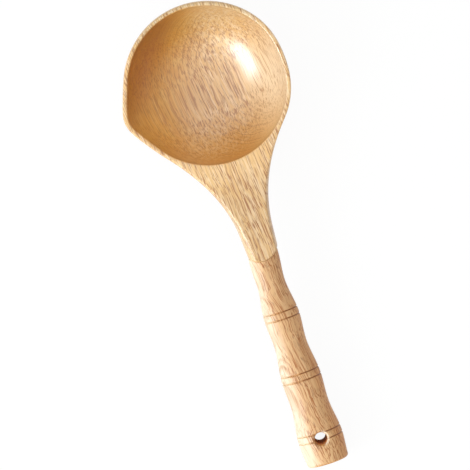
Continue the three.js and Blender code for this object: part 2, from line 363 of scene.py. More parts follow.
@dataclass(frozen=True)
class Figure:
    """A noise that draws one kind of figure in the wood.

    Attributes:
        pace: How many swells follow each other in a millimetre, along the grain, sideways and up.
        detail: How many finer noises are added.
        roughness: How much each of them keeps of the one before.
    """

    pace: Triple
    detail: float = 2.0
    roughness: float = 0.5


class Term:
    """A shader socket that takes part in Python arithmetic, by adding Math nodes."""

    def __init__(self, graph: "Graph", socket: bpy.types.NodeSocket | None) -> None:
        """Keeps the socket and the graph that it is in."""
        self.graph = graph
        self.socket = socket

    def __add__(self, other: "Term | float") -> "Term":
        """Sum of two values."""
        return self.graph.math(Operation.ADD, self, other)

    def __radd__(self, other: float) -> "Term":
        """Sum with a number on the left."""
        return self.graph.math(Operation.ADD, other, self)

    def __sub__(self, other: "Term | float") -> "Term":
        """Difference of two values."""
        return self.graph.math(Operation.SUBTRACT, self, other)

    def __rsub__(self, other: float) -> "Term":
        """Difference from a number on the left."""
        return self.graph.math(Operation.SUBTRACT, other, self)

    def __mul__(self, other: "Term | float") -> "Term":
        """Product of two values."""
        return self.graph.math(Operation.MULTIPLY, self, other)

    def __rmul__(self, other: float) -> "Term":
        """Product with a number on the left."""
        return self.graph.math(Operation.MULTIPLY, other, self)

    def __abs__(self) -> "Term":
        """The value without its sign."""
        return self.graph.math(Operation.ABSOLUTE, self, 0.0)


class Graph:
    """The node tree of one material or world.

    Attributes:
        MIX_UNDER: The socket of a Mix node that takes the lower colour.
        MIX_OVER: The socket that takes the upper one.
        MIX_RESULT: The output that gives the mixed colour.
    """

    MIX_UNDER = 6
    MIX_OVER = 7
    MIX_RESULT = 2

    def __init__(self, tree: bpy.types.NodeTree) -> None:
        """Starts from an empty tree."""
        tree.nodes.clear()
        self.tree = tree

    def node(
        self,
        kind: str,
        settings: dict[str, Any] | None = None,
        sockets: dict[str | int, Any] | None = None,
        out: str | int = 0,
    ) -> Term:
        """Adds one node.

        Args:
            kind: The node's type.
            settings: Its settings, which are set first.
            sockets: Values or terms for its inputs, by name or index.
            out: The output to hand back.

        Returns:
            That output, or an empty term where the node has none.
        """
        made = self.tree.nodes.new(kind)
        for name, value in (settings or {}).items():
            setattr(made, name, value)
        for key, value in (sockets or {}).items():
            if isinstance(value, Term):
                self.tree.links.new(value.socket, made.inputs[key])
            else:
                made.inputs[key].default_value = value
        return Term(self, made.outputs[out] if len(made.outputs) else None)

    def math(self, operation: Operation, first: Term | float, second: Term | float) -> Term:
        """Adds a Math node on two values."""
        return self.node("ShaderNodeMath", {"operation": operation.value}, {0: first, 1: second})

    def larger(self, first: Term, second: Term) -> Term:
        """The larger of two values."""
        return self.math(Operation.MAXIMUM, first, second)

    def ease(self, value: Term, span: Span) -> Term:
        """Eases from 0 at the start of a span to 1 at its end."""
        sockets = {"Value": value, "From Min": span[0], "From Max": span[1]}
        return self.node("ShaderNodeMapRange", {"interpolation_type": "SMOOTHSTEP"}, sockets)

    def blend(self, share: Term | float, under: Any, over: Any, way: Blend = Blend.MIX) -> Term:
        """Lays one colour over another.

        Args:
            share: How much of the upper colour is laid on.
            under: The lower colour.
            over: The upper colour.
            way: How it is laid on.

        Returns:
            The mixed colour.
        """
        settings = {"data_type": "RGBA", "blend_type": way.value}
        colours = {self.MIX_UNDER: under, self.MIX_OVER: over}
        return self.node("ShaderNodeMix", settings, {0: share, **colours}, self.MIX_RESULT)

    def vector(self, operation: str, sockets: dict[int, Any], out: str | int = 0) -> Term:
        """Adds a Vector Math node."""
        return self.node("ShaderNodeVectorMath", {"operation": operation}, sockets, out)

    def along(self, vector: Term, way: Triple) -> Term:
        """How far a vector reaches in a direction."""
        return self.vector("DOT_PRODUCT", {0: vector, 1: way}, "Value")

    def part(self, vector: Term, axis: str) -> Term:
        """One part of a vector."""
        return self.node("ShaderNodeSeparateXYZ", None, {0: vector}, axis)

    def noise(self, vector: Term, figure: Figure) -> Term:
        """Noise that follows a figure, over places in millimetres.

        Args:
            vector: The places, along the grain, sideways and up.
            figure: The figure.

        Returns:
            The noise, from 0 to 1.
        """
        paced = self.vector("MULTIPLY", {0: vector, 1: figure.pace})
        sockets = {"Vector": paced, "Scale": 1.0, "Detail": figure.detail, "Roughness": figure.roughness}
        return self.node("ShaderNodeTexNoise", {"noise_dimensions": "3D"}, sockets)

    def mark(self, name: str) -> Term:
        """A value that the mesh carries."""
        return self.node("ShaderNodeAttribute", {"attribute_name": name}, out="Fac")


# Figures of the wood that are the same in each piece
BENDS = Figure((0.045, 0.05, 0.05))
WANDER = Figure((0.011, 0.03, 0.03))
FIBRES = Figure((0.018, 0.5, 0.5), 4.0, 0.6)
CLOUDS = Figure((0.012, 0.04, 0.04))
DASHES = Figure((0.13, 1.3, 1.05), 1.0)
WEAR = Figure((0.1, 0.7, 0.7), 1.0)

# Levels of those figures between which a mark begins and is full
PALE_FIBRE = (0.4, 0.66)
DARK_LAYER = (0.46, 0.68)
LAYERED_CLOUD = (0.28, 0.6)
LONG_STREAK = (0.57, 0.72)
OPEN_PORE = (0.73, 0.87)

# Middle level of a noise
MIDDLE_LEVEL = 0.5

# Detail and roughness of the noise that makes the growth layers
LAYER_DETAIL = 2.0
LAYER_ROUGHNESS = 0.6

# Shares that the figures have in the marks
BORDER_CLOUDS = 0.4
BORDER_FIBRES = 0.6
STREAK_LAYERS = 0.15
PORE_CLOUDS = 0.3
KNOT_CLOUDS = 0.3
PALEST_FIBRE = 0.7

# How far end grain and the pale painted light on the hollow's right wall close the streaks and pores
END_CLOSED = 0.95
PAINTED_LIGHT_CLOSED = 0.4

# Relief of the wood under its lacquer, and the share of each figure in it
RELIEF_STRENGTH = 0.3
RELIEF_DEPTH = 0.12 * MILLIMETRE
FIBRE_RELIEF = 0.5
LAYER_RELIEF = 0.3
STREAK_RELIEF = 0.5
PORE_RELIEF = 0.8

# Roughness that fibres and pores add
FIBRE_ROUGHNESS = 0.12
PORE_ROUGHNESS = 0.2

# Refraction of the wood and of its lacquer
WOOD_REFRACTION = 1.55
LACQUER_REFRACTION = 1.7


@dataclass(frozen=True)
class Grain:
    """What the wood holds at each place, as terms of one material's graph.

    Attributes:
        graph: The material's graph.
        laid: Places in the ladle's frame, in millimetres.
        spot: The same places, turned and bent as the fibres are.
        layers: Growth layers.
        fibres: Fine fibres.
        clouds: Wide, faint clouds.
        lines: Long streaks.
        end: How far the surface is cut across the fibres, from 0 to 1.
    """

    graph: Graph
    laid: Term
    spot: Term
    layers: Term
    fibres: Term
    clouds: Term
    lines: Term
    end: Term


@dataclass(frozen=True)
class Shares:
    """How much of each kind of wood, and of the painted light and shade laid on it, lies at each place,
    from 0 to 1.

    Attributes:
        heart_and_shade: Heartwood, which is painted shade on the bowl and the handle.
        flush: The deeper painted shade in it.
        painted_light: Pale sapwood that is painted light, round the highlight on the hollow's right wall.
        shown: What the place shows of its streaks and pores.
    """

    heart_and_shade: Term
    flush: Term
    painted_light: Term
    shown: Term | float = 1.0


@dataclass(frozen=True)
class Surface:
    """What varies over a finished surface.

    Attributes:
        tone: Its colour.
        rough: Its roughness.
        coat: Weight of its lacquer.
    """

    tone: Term
    rough: Term
    coat: Term | float


@dataclass(frozen=True)
class LacqueredWood:
    """Pale tan hardwood under clear lacquer.

    It has growth layers, long streaks, short pores and a heart side; on the bowl and the handle the heart
    side and the pale side are painted shade and painted light.

    Attributes:
        name: The material's name.
        body: Main colour.
        pale: Colour of the palest fibres.
        deep: Colour of the darker growth layers and streaks.
        pore: Colour of the open pores.
        heart_and_shade: Tint of the heartwood, which lies on one side of the piece; on the bowl and the
            handle it is painted shade.
        heart_and_shade_way: Direction across the piece, along X and Y, towards the heartwood and its
            painted shade.
        heart_and_shade_span: Where in that direction it begins and where it is full, in millimetres.
        ragged: How far its border strays, in millimetres.
        flush: Tint of painted shade that is laid deeper in the heartwood.
        painted_shade_way: Direction across the piece, along X and Y, towards that painted shade.
        painted_shade_span: Where in that direction the painted shade begins and where it is full, in
            millimetres.
        painted_light_span: Where against the heartwood's direction the pale sapwood, which is painted
            light, begins and where it is full.
        bands: Tints along the handle's direction, each with where it begins and where it is full.
        end_and_shade_tint: Tint of the end grain, which also lays painted shade on the near side.
        end_and_shade_shares: Share of that tint at the far wall of the bowl, which is the end grain's own
            tone, and the painted shade that the near side adds to it.
        near_shade_span: Where along the handle's direction the near side's painted shade begins and where
            it is full.
        seam: Where along the handle the seam begins, and where it ends.
        seam_fade: How much of the end grain's tint and painted shade is left out there, so that the seam
            stays faint.
        waver: How far the fibres stray from straight, in millimetres.
        turn: How the grain is turned from the handle's direction, in degrees about Y and about Z.
        pith: Where the middle of the log lies, across and up from the mouth, in millimetres.
        layer: About how thick a growth layer is, in millimetres.
        layer_wander: How far a layer strays from round, in millimetres.
        layering: How much the layers darken the wood.
        lines: Figure of the long streaks.
        streaks: How much the long streaks darken the wood.
        streak_shares: Share of streaks and pores that shows outside the heartwood and its painted shade,
            and in them.
        pores: How much the pores darken the wood.
        roughness: Roughness of the wood under the lacquer.
        sheen: How much the wood itself reflects, where 0.5 is full.
        coat: Weight of the lacquer.
        coat_roughness: Roughness of the lacquer.
    """

    name: str
    body: Colour
    pale: Colour
    deep: Colour
    pore: Colour
    heart_and_shade: Colour
    heart_and_shade_way: Pair
    heart_and_shade_span: Span
    ragged: float = 18.0
    flush: Colour = WHITE
    painted_shade_way: Pair = (0.0, 1.0)
    painted_shade_span: Span = (0.0, 1.0)
    painted_light_span: Span = NOWHERE
    bands: tuple[tuple[Colour, Span], ...] = ()
    end_and_shade_tint: Colour = (0.94, 0.62, 0.14, 1.0)
    end_and_shade_shares: Pair = (0.3, 0.65)
    near_shade_span: Span = (-40.0, 30.0)
    seam: tuple[Span, Span] = ((90.0, 104.0), (134.0, 150.0))
    seam_fade: float = 0.85
    waver: float = 3.0
    turn: Pair = (-5.0, 7.0)
    pith: Pair = (98.0, -133.0)
    layer: float = 1.2
    layer_wander: float = 11.0
    layering: float = 0.5
    lines: Figure = Figure((0.016, 1.25, 0.95), 2.0, 0.55)
    streaks: float = 0.85
    streak_shares: Pair = (1.0, 0.6)
    pores: float = 0.45
    roughness: float = 0.42
    sheen: float = 0.3
    coat: float = 0.6
    coat_roughness: float = 0.2

    def ladle_space(self, graph: Graph, pose: LadlePose) -> Term:
        """Places in the ladle's own frame, in millimetres.

        Args:
            graph: The material's graph.
            pose: Where the ladle lies.

        Returns:
            The vector from the middle of the mouth.
        """
        spot = graph.node("ShaderNodeTexCoord", out="Object")
        mouth = tuple(part * MILLIMETRE for part in pose.mouth)
        sockets = {"Location": mouth, "Rotation": (0.0, pose.pitch, 0.0), "Scale": (MILLIMETRE,) * 3}
        return graph.node("ShaderNodeMapping", {"vector_type": "TEXTURE"}, {"Vector": spot, **sockets})

    def growth(self, graph: Graph, spot: Term) -> Term:
        """Growth layers round the pith, uneven in width, from 0 to 1.

        Args:
            graph: The material's graph.
            spot: Places along the straight grain.

        Returns:
            The layers.
        """
        wander = graph.noise(spot, WANDER)
        away = graph.vector("SUBTRACT", {0: spot, 1: (0.0, *self.pith)})
        flat = graph.vector("MULTIPLY", {0: away, 1: (0.0, 1.0, 1.0)})
        radius = graph.vector("LENGTH", {0: flat}, "Value")
        depth = (radius + self.layer_wander * wander) * (1 / self.layer)
        sockets = {"W": depth, "Scale": 1.0, "Detail": LAYER_DETAIL, "Roughness": LAYER_ROUGHNESS}
        return graph.node("ShaderNodeTexNoise", {"noise_dimensions": "1D"}, sockets)

    def end_grain(self, graph: Graph, pose: LadlePose) -> Term:
        """How far the surface is cut across the fibres, from 0 to 1.

        Args:
            graph: The material's graph.
            pose: Where the ladle lies.

        Returns:
            0 along the grain and 1 across it.
        """
        normal = graph.node("ShaderNodeTexCoord", out="Normal")
        cut = graph.along(normal, (math.cos(pose.pitch), 0.0, -math.sin(pose.pitch)))
        return cut * cut

    def grain(self, graph: Graph, pose: LadlePose) -> Grain:
        """Lays the grain along the handle.

        Args:
            graph: The material's graph.
            pose: Where the ladle lies.

        Returns:
            The terms that the finish is mixed from.
        """
        laid = self.ladle_space(graph, pose)
        turned = {"Vector": laid, "Rotation": (0.0, self.turn[0] * DEGREE, self.turn[1] * DEGREE)}
        straight = graph.node("ShaderNodeMapping", {"vector_type": "TEXTURE"}, turned)
        bent = {0: graph.noise(straight, BENDS), 1: (0.0, self.waver, self.waver), 2: straight}
        spot = graph.vector("MULTIPLY_ADD", bent)
        return Grain(
            graph=graph,
            laid=laid,
            spot=spot,
            layers=self.growth(graph, straight),
            fibres=graph.noise(spot, FIBRES),
            clouds=graph.noise(spot, CLOUDS),
            lines=graph.noise(spot, self.lines),
            end=self.end_grain(graph, pose),
        )

    def across(self, grain: Grain) -> Term:
        """How far a place lies towards the heartwood and its painted shade, in millimetres."""
        return grain.graph.along(grain.laid, (*self.heart_and_shade_way, 0.0))

    def share_out(self, grain: Grain) -> Shares:
        """Places the heartwood, its deeper painted shade and the pale sapwood's painted light, with ragged
        borders.

        Args:
            grain: The grain.

        Returns:
            The kinds of wood.
        """
        graph = grain.graph
        stray = BORDER_CLOUDS * grain.clouds + BORDER_FIBRES * grain.fibres - MIDDLE_LEVEL
        ragged = self.ragged * stray
        strayed = self.across(grain) + ragged
        shaded_across = graph.along(grain.laid, (*self.painted_shade_way, 0.0)) + ragged
        return Shares(
            heart_and_shade=graph.ease(strayed, self.heart_and_shade_span),
            flush=graph.ease(shaded_across, self.painted_shade_span),
            painted_light=graph.ease(strayed, self.painted_light_span),
        )

    def cut_open(self, grain: Grain, shares: Shares) -> tuple[Term, Term]:
        """Finds the streaks and pores, which close up on end grain and fade where light is painted on.

        Args:
            grain: The grain.
            shares: The kinds of wood.

        Returns:
            Shares of the long streaks and of the pores, from 0 to 1.
        """
        graph = grain.graph
        plain, in_heart_and_shade = self.streak_shares
        # Streaks and pores fade under the pale painted light
        kinds = (plain + (in_heart_and_shade - plain) * shares.heart_and_shade) * (1.0 - PAINTED_LIGHT_CLOSED * shares.painted_light)
        shown = (1.0 - END_CLOSED * grain.end) * kinds * shares.shown
        dashes = graph.noise(grain.spot, DASHES)
        layered_lines = grain.lines + STREAK_LAYERS * grain.layers
        streaks = graph.ease(layered_lines, LONG_STREAK) * self.streaks * shown
        pores = graph.ease(dashes + PORE_CLOUDS * grain.clouds, OPEN_PORE) * self.pores * shown
        return streaks, pores

    def stain(self, grain: Grain, shares: Shares, streaks: Term, pores: Term) -> Term:
        """Mixes the colour of the wood.

        Args:
            grain: The grain.
            shares: The kinds of wood.
            streaks: Share of the long streaks.
            pores: Share of the pores.

        Returns:
            The colour.
        """
        graph = grain.graph
        # Pale fibres, and the pale painted light on the hollow's right wall
        pale = graph.larger(graph.ease(grain.fibres, PALE_FIBRE) * PALEST_FIBRE, shares.painted_light)
        layered = graph.ease(grain.clouds, LAYERED_CLOUD)
        dark = graph.ease(grain.layers, DARK_LAYER) * self.layering * layered
        tone = graph.blend(pale, self.body, self.pale)
        for share, colour in ((dark, self.deep), (streaks, self.deep), (pores, self.pore)):
            tone = graph.blend(share, tone, colour)
        along = graph.part(grain.laid, "X")
        # Heartwood tint, which is painted shade on the bowl and the handle, and the deeper painted shade
        tints = [(shares.heart_and_shade, self.heart_and_shade), (shares.flush, self.flush)]
        tints += [(graph.ease(along, span), tint) for tint, span in self.bands]
        begin, end = self.seam
        at_seam = graph.ease(along, begin) * (1.0 - graph.ease(along, end))
        # End grain's own darker tone, with painted shade added towards the neck
        far, added = self.end_and_shade_shares
        end_and_shade = grain.end * (far + added * graph.ease(along, self.near_shade_span))
        tints.append((end_and_shade * (1.0 - self.seam_fade * at_seam), self.end_and_shade_tint))
        for share, tint in tints:
            tone = graph.blend(share, tone, tint, Blend.MULTIPLY)
        return tone

    def confine(self, grain: Grain, shares: Shares) -> Shares:
        """Keeps the kinds of wood to parts of a piece; here they lie all over it."""
        return shares

    def work(self, grain: Grain, surface: Surface) -> Surface:
        """Adds what a maker and use did to a piece; here nothing was done."""
        return surface

    def make(self, pose: LadlePose) -> bpy.types.Material:
        """Makes the material.

        Args:
            pose: Where the ladle lies, so that the grain runs along the handle.

        Returns:
            The new material.
        """
        material = bpy.data.materials.new(self.name)
        material.use_nodes = True
        graph = Graph(material.node_tree)
        grain = self.grain(graph, pose)
        shares = self.confine(grain, self.share_out(grain))
        streaks, pores = self.cut_open(grain, shares)
        tone = self.stain(grain, shares, streaks, pores)
        uneven = FIBRE_ROUGHNESS * (grain.fibres - MIDDLE_LEVEL)
        rough = self.roughness + uneven + PORE_ROUGHNESS * pores
        surface = self.work(grain, Surface(tone, rough, self.coat))
        raised = FIBRE_RELIEF * grain.fibres + LAYER_RELIEF * grain.layers
        height = raised - STREAK_RELIEF * streaks - PORE_RELIEF * pores
        relief = {"Strength": RELIEF_STRENGTH, "Distance": RELIEF_DEPTH, "Height": height}
        sockets = {
            "Base Color": surface.tone,
            "Roughness": surface.rough,
            "Normal": graph.node("ShaderNodeBump", None, relief),
            "IOR": WOOD_REFRACTION,
            "Specular IOR Level": self.sheen,
            "Coat Weight": surface.coat,
            "Coat Roughness": self.coat_roughness,
            "Coat IOR": LACQUER_REFRACTION,
        }
        shader = graph.node("ShaderNodeBsdfPrincipled", None, sockets)
        graph.node("ShaderNodeOutputMaterial", None, {"Surface": shader})
        return material


@dataclass(frozen=True)
class BowlWood(LacqueredWood):
    """The bowl's wood: its heart side paints shade in the hollow, and the neck's left flank carries painted
    light.

    Attributes:
        belly_span: Heights from which and to which the outside gets plainer, in millimetres.
        belly_plain: Share of its streaks and pores that is lost there.
        outer_coat: Share of the lacquer on the outside.
        lit_flank_strength: How pale the painted light on the flank is.
        lit_flank_span: Levels of the flank's mark between which the painted light sets in.
        lit_flank_fray: How far fibres fray that border.
    """

    belly_span: Span = (-3.0, -14.0)
    belly_plain: float = 0.6
    outer_coat: float = 0.25
    lit_flank_strength: float = 0.3
    lit_flank_span: Span = (0.2, 0.9)
    lit_flank_fray: float = 0.6

    def confine(self, grain: Grain, shares: Shares) -> Shares:
        """Keeps the heartwood's painted shade and the sapwood's painted light in the hollow, and the
        outside plain.

        Args:
            grain: The grain.
            shares: The kinds of wood, all over the piece.

        Returns:
            The kinds of wood where they show.
        """
        graph = grain.graph
        inside = graph.mark("inside")
        belly = (1.0 - inside) * graph.ease(graph.part(grain.laid, "Z"), self.belly_span)
        return Shares(
            heart_and_shade=shares.heart_and_shade * inside,
            flush=shares.flush * inside,
            painted_light=shares.painted_light * inside,
            shown=1.0 - self.belly_plain * belly,
        )

    def work(self, grain: Grain, surface: Surface) -> Surface:
        """Lacquers the hollow most, and paints light on the neck's left flank, where the side light falls.

        Args:
            grain: The grain.
            surface: The surface as it grew.

        Returns:
            The surface as it was made.
        """
        graph = grain.graph
        # Painted light: the neck's left flank is laid paler where the side light falls on it
        frayed = graph.mark("lit_flank") + self.lit_flank_fray * (grain.fibres - MIDDLE_LEVEL)
        lit_flank = self.lit_flank_strength * graph.ease(frayed, self.lit_flank_span)
        inside = graph.mark("inside")
        return replace(
            surface,
            tone=graph.blend(lit_flank, surface.tone, self.pale),
            coat=self.coat * (self.outer_coat + (1 - self.outer_coat) * inside),
        )


@dataclass(frozen=True)
class HandleWood(LacqueredWood):
    """The handle's wood, with its cut rings and its drilled hole.

    Attributes:
        worn_and_lit_span: Levels of the noise between which a ring is kept; it breaks the rings as wear and
            as painted light on the lit left side.
        kept_span: Where towards the heartwood and its painted shade a ring is kept all the same, in
            millimetres.
        hole_tone: Colour of the drilled wall.
        hole_span: Levels of the hole's mark between which its wall begins.
        hole_rough: What the bare wall adds to the roughness.
        knot: How dark the wood round the hole is.
        knot_reach: Levels of the hole's mark between which that wood begins.
        knot_span: Levels of the streaks between which it shows.
        glint_strength: How strong the painted highlight on the right of the hole's rounded edge is.
    """

    worn_and_lit_span: Span = (0.5, 0.6)
    kept_span: Span = (-1.0, 6.0)
    hole_tone: Colour = from_screen(214, 150, 92)
    hole_span: Span = (0.6, 0.95)
    hole_rough: float = 0.4
    knot: float = 0.7
    knot_reach: Span = (0.0, 0.4)
    knot_span: Span = (0.6, 0.8)
    glint_strength: float = 0.55

    def work(self, grain: Grain, surface: Surface) -> Surface:
        """Darkens the rings and the wood round the hole, bares the hole's wall, and paints a highlight on
        the right of its edge.

        Args:
            grain: The grain.
            surface: The surface as it grew.

        Returns:
            The surface as it was made and worn, with its painted light.
        """
        graph = grain.graph
        # Rings break up where a noise is low, partly as wear and partly as painted light on the lit left
        # side; towards the right they stay whole
        worn_and_lit = graph.ease(graph.noise(grain.spot, WEAR), self.worn_and_lit_span)
        kept = graph.larger(worn_and_lit, graph.ease(self.across(grain), self.kept_span))
        tone = graph.blend(graph.mark("ring") * kept, surface.tone, self.pore)
        near_hole = graph.mark("hole")
        hole = graph.ease(near_hole, self.hole_span)
        knotty = graph.ease(grain.lines + KNOT_CLOUDS * grain.clouds, self.knot_span)
        tone = graph.blend(graph.ease(near_hole, self.knot_reach) * knotty * self.knot, tone, self.pore)
        tone = graph.blend(hole, tone, self.hole_tone)
        # Painted highlight on the right of the hole's rounded edge
        tone = graph.blend(self.glint_strength * graph.mark("edge"), tone, self.pale)
        return Surface(tone, surface.rough + self.hole_rough * hole, self.coat * (1.0 - hole))


@dataclass
class Bowl:
    """The carved bowl with its drawn spout, and the flat-topped neck that ends in a half-round tongue.

    Lengths are in millimetres. The spans at the end say where a mark or a rounding begins and is full.
    """

    mouth_radius: float = 54.0
    mouth_depth: float = 44.0
    hollow_fullness: float = 2.2
    rim_wall: float = 2.6
    floor_wall: float = 6.0
    belly_drop: float = 6.0
    spout_reach: float = 7.2
    spout_bearing: float = 278 * DEGREE
    spout_rounding: float = 5 * DEGREE
    spout_shoulder: float = 3.5 * DEGREE
    spout_blunting: float = 2.6 * DEGREE
    spout_depth: float = 30.0
    flat_bearing: float = 93 * DEGREE
    flat_share: float = 0.019
    flat_sharpness: float = 16.0
    neck_length: float = 68.4
    neck_half_width: float = 11.9
    neck_setback: float = 20.5
    neck_taper: float = 0.07
    neck_crown: float = 21.0
    neck_offset: float = 1.2
    neck_bearing: float = 48.8 * DEGREE
    keel_bearing: float = 46 * DEGREE
    keel_setback: float = 37.5
    tongue_margin: float = 1.5
    handle_drop: float = 11.6
    head_radius: float = 11.3
    bore_radius: float = 5.3
    bore_depth: float = 31.0
    rim_round: float = 0.7
    neck_round: float = 4.0
    lip_round: float = 0.6
    tongue_round: float = 0.18
    foot_round: float = 0.8
    cell: float = 0.81
    slope_step: float = 0.05
    lip_span: Span = (0.1, 0.8)
    left_span: Span = (2.0, 7.0)
    # Painted light on the neck's left flank: the span out from the flat top, and the span along the neck
    lit_flank_span: Span = (-6.0, -1.5)
    lit_flank_run: Span = (66.0, 105.0)

    def __post_init__(self) -> None:
        """Works out the sizes that follow from the others."""
        self.belly_depth = self.mouth_depth + self.floor_wall - self.belly_drop
        outer = self.mouth_radius + self.rim_wall
        self.belly_radius = outer / math.sqrt(1 - (self.belly_drop / self.belly_depth) ** 2)
        self.spout_half_angle = math.acos(self.mouth_radius / (self.mouth_radius + self.spout_reach))
        self.tongue_tip = self.belly_radius + self.neck_length
        self.neck_start = self.belly_radius * math.cos(self.neck_bearing)
        self.keel_start = self.belly_radius * math.cos(self.keel_bearing)
        self.narrow_x = self.tongue_tip - self.neck_setback
        narrow = self.neck_half_width - self.neck_taper * self.neck_setback / 2
        self.tongue_radius = narrow + self.neck_offset + self.tongue_margin
        self.tongue_centre = self.tongue_tip - self.tongue_radius

    def run_out(self, x: Array, leave: float, height: float, end: Triple) -> Array:
        """Follows the belly's arc, then sweeps away from it and runs on straight.

        Args:
            x: Places along the ladle.
            leave: Where the sweep leaves the arc.
            height: Height of the arc.
            end: Where the sweep ends, with its value and its slope there.

        Returns:
            The value at each place.
        """
        share = math.sqrt(1 - (leave / self.belly_radius) ** 2)
        start_slope = -height * leave / (self.belly_radius**2 * share)
        end_x, end_value, end_slope = end
        run = end_x - leave
        s = np.clip((x - leave) / run, 0.0, 1.0)
        keep = (1 + 2 * s) * (1 - s) ** 2
        bend = run * s * (1 - s) * ((1 - s) * start_slope - s * end_slope)
        swept = keep * height * share + (1 - keep) * end_value + bend
        arc = height * np.sqrt(np.clip(1 - (x / self.belly_radius) ** 2, 0.0, None))
        straight = end_value + end_slope * (x - end_x)
        return np.where(x <= leave, arc, np.where(x >= end_x, straight, swept))

    def half_width(self, x: Array) -> Array:
        """Half of the width of the belly and then of the neck."""
        narrow = (self.narrow_x, self.neck_half_width, -self.neck_taper)
        return self.run_out(x, self.neck_start, self.belly_radius, narrow)

    def sweep(self, x: Array) -> Array:
        """Share of the way from the bowl to the narrow end of the neck."""
        return smooth_share(x, (self.neck_start, self.narrow_x))

    def undrawn(self, points: Array, half_angle: float, rounding: float) -> Array:
        """Puts points back to where they lay before the spout was drawn out of the wall.

        Args:
            points: Places in the ladle's frame.
            half_angle: Half of the angle that the spout takes up.
            rounding: How much of that its tip is rounded by.

        Returns:
            The places in a wall that is round all the way.
        """
        bearing = np.arctan2(points[:, 1], points[:, 0])
        away = np.mod(bearing - self.spout_bearing + math.pi, 2 * math.pi) - math.pi
        turn = np.maximum(0.0, half_angle - np.hypot(away, rounding))
        fade = np.clip(1 + points[:, 2] / self.spout_depth, 0.0, 1.0) ** 2
        drawn = 1 + (1 / np.cos(turn) - 1) * fade
        flat = self.flat_share * np.maximum(0.0, np.cos(bearing - self.flat_bearing)) ** self.flat_sharpness
        stretch = drawn * (1 - flat)
        return np.column_stack([points[:, 0] / stretch, points[:, 1] / stretch, points[:, 2]])

    def skin(self, points: Array) -> Array:
        """Distance to the outside, near it: an ellipsoid whose sections run out into the neck.

        Args:
            points: Places in the ladle's frame.

        Returns:
            The distances, negative inside it.
        """
        half_angle = self.spout_half_angle + self.spout_shoulder
        x, y, z = self.undrawn(points, half_angle, self.spout_rounding + self.spout_blunting).T
        sweep = self.sweep(x)
        level = -(self.belly_drop + (self.handle_drop - self.belly_drop) * sweep)
        width = self.half_width(x)
        crown = self.run_out(x, self.neck_start, self.belly_depth, (self.narrow_x, self.neck_crown, 0.0))
        keel_end = self.tongue_tip - self.keel_setback
        keel_depth = self.handle_drop + self.head_radius - self.belly_drop
        keel = self.run_out(x, self.keel_start, self.belly_depth, (keel_end, keel_depth, 0.0))
        on_belly = x <= self.neck_start
        girth = np.where(on_belly, self.belly_radius**2 - x**2, width**2)
        wide = np.maximum(width, LEAST_DIVISOR)
        belly_share = self.belly_depth / self.belly_radius
        above = np.where(on_belly, belly_share, crown / wide)
        below = np.where(on_belly, belly_share, (level + self.belly_drop + keel) / wide)
        rise = z - level
        share = np.where(rise > 0, above, below)
        side = y - self.neck_offset * sweep
        field = side**2 + (rise / share) ** 2 - girth
        step = self.slope_step
        girth_slope = np.where(on_belly, -2 * x, 2 * width * (self.half_width(x + step) - width) / step)
        slope = np.hypot(np.hypot(2 * side, 2 * rise / share**2), girth_slope)
        return field / np.maximum(slope, LEAST_DIVISOR)

    def hollow(self, points: Array) -> Array:
        """Distance to the hollow, near it: a squared ellipse turned about Z, open at the rim.

        Args:
            points: Places in the ladle's frame.

        Returns:
            The distances, negative in the hollow.
        """
        x, y, z = self.undrawn(points, self.spout_half_angle, self.spout_rounding).T
        radius = np.hypot(x, y) / self.mouth_radius
        depth = np.maximum(-z, 0.0) / self.mouth_depth
        power = self.hollow_fullness
        field = radius**power + depth**power - 1
        across = power * radius ** (power - 1) / self.mouth_radius
        down = power * depth ** (power - 1) / self.mouth_depth
        return field / np.maximum(np.hypot(across, down), LEAST_DIVISOR)

    def inside(self, points: Array) -> Array:
        """1 on the wall of the hollow, easing to 0 over its lip."""
        return 1 - smooth_share(self.hollow(points), self.lip_span)

    def lit_flank(self, points: Array) -> Array:
        """1 on the left flank of the neck, where light is painted on, easing to 0 on its flat top.

        Args:
            points: Places in the ladle's frame.

        Returns:
            The mark of the painted light on the flank.
        """
        x = points[:, 0]
        side = points[:, 1] - self.neck_offset * self.sweep(x)
        return smooth_share(-side - self.half_width(x), self.lit_flank_span) * smooth_share(x, self.lit_flank_run)

    def solid(self, points: Array, pose: LadlePose) -> Array:
        """Distance to the carved piece, with its edges rounded.

        Args:
            points: Places in the ladle's frame.
            pose: Where the ladle lies, for the flat foot under the bowl.

        Returns:
            The distances, negative in the wood.
        """
        x, y, z = points.T
        near_tip = smooth_share(x, (self.narrow_x - self.neck_setback, self.tongue_tip))
        edge_round = self.rim_round + self.neck_round * near_tip * smooth_share(-y, self.left_span)
        wood = shared_by(self.skin(points), z, edge_round)
        wood = shared_by(wood, -self.hollow(points), self.lip_round)
        past = np.maximum(x - self.tongue_centre, 0.0)
        before = np.maximum(self.tongue_centre - x, 0.0)
        wood = shared_by(wood, np.hypot(past, y) - self.tongue_radius - before, self.tongue_round)
        wood = shared_by(wood, -pose.height(points), self.foot_round)
        bore = np.hypot(y, z + self.handle_drop) - self.bore_radius
        return np.maximum(wood, -np.maximum(bore, self.tongue_tip - self.bore_depth - x))

    def build(self, pose: LadlePose) -> bpy.types.Object:
        """Carves the bowl and its neck in one piece.

        Args:
            pose: Where the ladle lies.

        Returns:
            The piece.
        """
        edge = 2 * self.cell
        side = self.belly_radius + self.spout_reach + edge
        net = SurfaceNet(
            carving=lambda points: self.solid(points, pose),
            low=(-self.belly_radius - edge, -side, -self.mouth_depth - self.floor_wall - edge),
            high=(self.tongue_tip + edge, side, edge),
            cell=(self.cell,) * 3,
        )
        # The flank mark carries the painted light on the neck's left flank
        return lay_down("carved_bowl", net, pose, {"inside": self.inside, "lit_flank": self.lit_flank})

